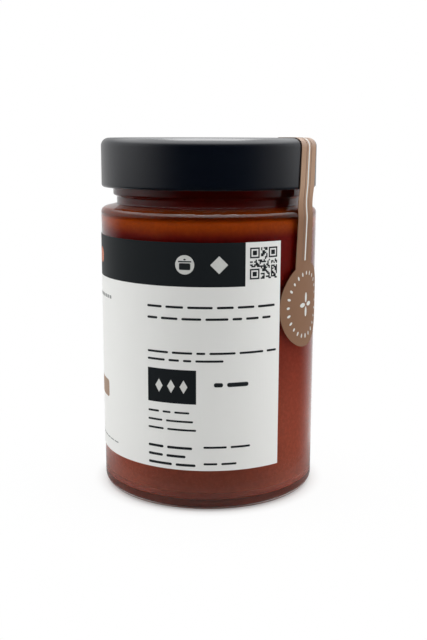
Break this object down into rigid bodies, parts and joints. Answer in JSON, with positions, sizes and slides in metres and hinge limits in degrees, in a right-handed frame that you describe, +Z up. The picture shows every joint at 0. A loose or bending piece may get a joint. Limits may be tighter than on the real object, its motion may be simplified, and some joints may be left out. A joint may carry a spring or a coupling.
{
  "type": "jar of tomato sauce",
  "caption": "Closed glass jar of red tomato sauce with a dark twist-off metal lid, a pale wrap-round paper label and a brown paper seal from lid to glass.",
  "frame": {"origin": "middle of the ring that the jar stands on, at the bottom of its box", "axes": "+Z up along the jar's axis, towards the lid; -Y towards the label's front; the seal lies between -Y and +X"},
  "size_m": [0.0742, 0.0742, 0.1202],
  "materials": {
    "glass": "clear gloss",
    "sauce": "wet, finely mottled tomato red",
    "lid": "satin anthracite lacquer",
    "label": "off-white ribbed paper with a dark band",
    "seal": "matt brown paper with pale print"
  },
  "bodies": {
    "root": {"glass_jar": "glass", "sauce": "sauce", "lid": "lid", "label": "label", "seal": "seal"}
  },
  "joints": []
}
